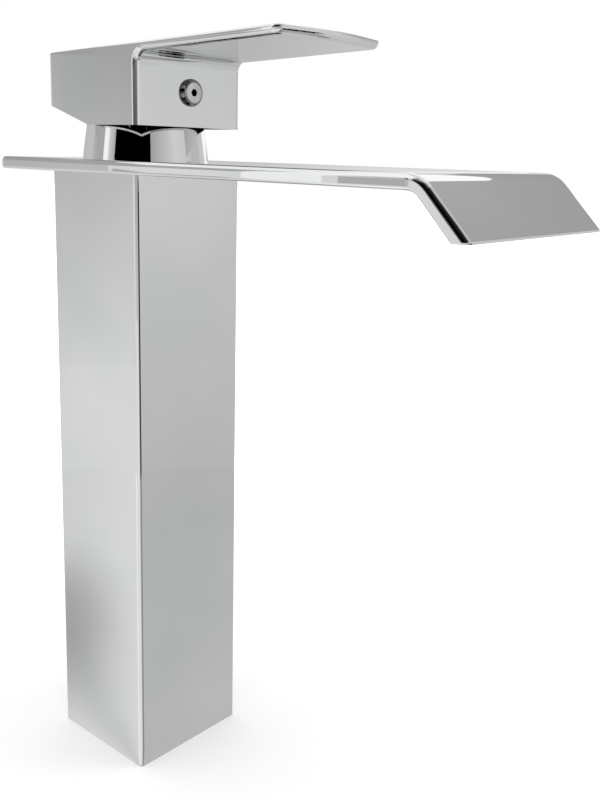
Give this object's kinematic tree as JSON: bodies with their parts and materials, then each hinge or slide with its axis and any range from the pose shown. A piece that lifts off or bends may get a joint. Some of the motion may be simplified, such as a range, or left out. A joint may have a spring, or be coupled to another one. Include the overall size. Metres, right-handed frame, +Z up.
{
  "type": "waterfall basin faucet",
  "caption": "Tall deck-mounted basin mixer: square column, flat waterfall spout bent down at its front, round collar and one flat lever that lifts and swivels.",
  "frame": {"origin": "middle of the column's foot, on the deck surface", "axes": "+Z up, the spout points along -Y, hot water on the -X side"},
  "size_m": [0.075, 0.2094, 0.2756],
  "materials": {
    "column_chrome": "polished chrome plate on brass",
    "spout_chrome": "polished chrome plate on brass",
    "collar_chrome": "polished chrome plate on brass",
    "handle_chrome": "polished chrome plate on a cast lever",
    "set_screw_steel": "bright stainless steel",
    "cast_brass": "machined brass",
    "nut_brass": "turned brass",
    "tube_copper": "drawn copper",
    "seal_rubber": "moulded rubber, matt black",
    "cartridge_plastic": "moulded plastic, white",
    "rotor_plastic": "moulded plastic, grey",
    "disc_ceramic": "lapped alumina, off-white and opaque",
    "pin_steel": "ground stainless steel"
  },
  "bodies": {
    "faucet_body": {"column_shell": "column_chrome", "foot_block": "cast_brass", "foot_seal": "seal_rubber", "hot_tube": "tube_copper", "cold_tube": "tube_copper", "tube_seals": "seal_rubber", "valve_body": "cast_brass", "spout_gasket": "seal_rubber", "waterfall_spout": "spout_chrome", "clamp_nut": "nut_brass", "cartridge_base": "cartridge_plastic", "port_seals": "seal_rubber", "fixed_disc": "disc_ceramic", "cartridge_shell": "cartridge_plastic", "cartridge_nut": "nut_brass", "collar_ring": "seal_rubber", "collar": "collar_chrome"},
    "swivel": {"rotor": "rotor_plastic", "rotor_seal": "seal_rubber", "pivot_pin": "pin_steel"},
    "lever": {"lever_stem": "pin_steel", "handle": "handle_chrome", "set_screw": "set_screw_steel"},
    "disc_slide": {"disc_carrier": "rotor_plastic", "moving_disc": "disc_ceramic"}
  },
  "joints": [
    {"name": "temperature_swivel", "type": "hinge", "parent": "faucet_body", "child": "swivel", "pos_m": [0, 0, 0.243], "axis": [0, 0, 1], "range_deg": [-45, 45]},
    {"name": "flow_lift", "type": "hinge", "parent": "swivel", "child": "lever", "pos_m": [0, 0, 0.243], "axis": [-1, 0, 0], "range_deg": [0, 25]},
    {"name": "disc_travel", "type": "slide", "parent": "swivel", "child": "disc_slide", "axis": [0, -1, 0], "range_m": [0, 0.0036]}
  ],
  "couplings": [
    {"joint": "disc_travel", "follows": "flow_lift", "m_per_rad": 0.008}
  ]
}
